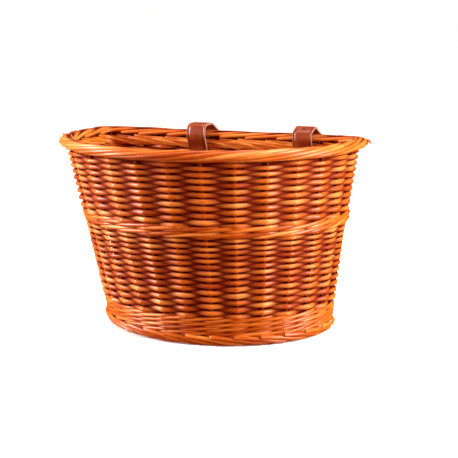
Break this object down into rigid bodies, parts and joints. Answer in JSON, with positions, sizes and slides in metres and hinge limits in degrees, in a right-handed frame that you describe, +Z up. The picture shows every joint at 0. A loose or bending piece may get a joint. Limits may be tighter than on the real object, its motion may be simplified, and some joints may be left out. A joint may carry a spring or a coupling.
{
  "type": "bicycle handlebar basket",
  "caption": "D-shaped woven willow bicycle basket with a flat back, a rolled rim and two leather buckle straps that loop over the rim to hold a handlebar.",
  "frame": {"origin": "floor level, on the middle of the flat back wall", "axes": "+X along the back wall, -Y to the curved front, +Y to the handlebar, +Z up"},
  "size_m": [0.38, 0.2741, 0.2484],
  "materials": {
    "willow": "stained and varnished willow, woven",
    "willow_stake": "stained willow rod",
    "strap_leather": "waxed, semi-gloss, raw cut edges",
    "buckle_metal": "nickel plated, satin",
    "rivet_brass": "satin"
  },
  "bodies": {
    "basket": {"foot_border": "willow", "lower_wale": "willow", "lower_weave": "willow", "middle_wale": "willow", "upper_weave": "willow", "rim_border": "willow", "base_weave": "willow", "base_sticks": "willow_stake", "back_stakes": "willow_stake", "left_stakes": "willow_stake", "right_stakes": "willow_stake", "front_stakes": "willow_stake", "strap_left": "strap_leather", "strap_rivet_left": "rivet_brass", "strap_right": "strap_leather", "strap_rivet_right": "rivet_brass"},
    "buckle_left": {"buckle_frame_left": "buckle_metal"},
    "roller_left": {"buckle_roller_left": "buckle_metal"},
    "prong_left": {"buckle_prong_left": "buckle_metal"},
    "keeper_left": {"keeper_left": "strap_leather"},
    "buckle_right": {"buckle_frame_right": "buckle_metal"},
    "roller_right": {"buckle_roller_right": "buckle_metal"},
    "prong_right": {"buckle_prong_right": "buckle_metal"},
    "keeper_right": {"keeper_right": "strap_leather"}
  },
  "joints": [
    {"name": "buckle_tilt_left", "type": "hinge", "parent": "basket", "child": "buckle_left", "pos_m": [-0.0365, 0.0128, 0.1815], "axis": [-1, 0, 0], "range_deg": [0, 6]},
    {"name": "roller_spin_left", "type": "hinge", "parent": "buckle_left", "child": "roller_left", "pos_m": [-0.0365, 0.01462, 0.1975], "axis": [1, 0, 0], "continuous": true},
    {"name": "prong_lift_left", "type": "hinge", "parent": "buckle_left", "child": "prong_left", "pos_m": [-0.0365, 0.0128, 0.1815], "axis": [-1, 0, 0], "range_deg": [0, 8]},
    {"name": "keeper_slide_left", "type": "slide", "parent": "basket", "child": "keeper_left", "axis": [0, 0, 1], "range_m": [-0.006, 0.001]},
    {"name": "buckle_tilt_right", "type": "hinge", "parent": "basket", "child": "buckle_right", "pos_m": [0.1045, 0.0128, 0.1815], "axis": [-1, 0, 0], "range_deg": [0, 6]},
    {"name": "roller_spin_right", "type": "hinge", "parent": "buckle_right", "child": "roller_right", "pos_m": [0.1045, 0.01462, 0.1975], "axis": [1, 0, 0], "continuous": true},
    {"name": "prong_lift_right", "type": "hinge", "parent": "buckle_right", "child": "prong_right", "pos_m": [0.1045, 0.0128, 0.1815], "axis": [-1, 0, 0], "range_deg": [0, 8]},
    {"name": "keeper_slide_right", "type": "slide", "parent": "basket", "child": "keeper_right", "axis": [0, 0, 1], "range_m": [-0.006, 0.001]}
  ]
}
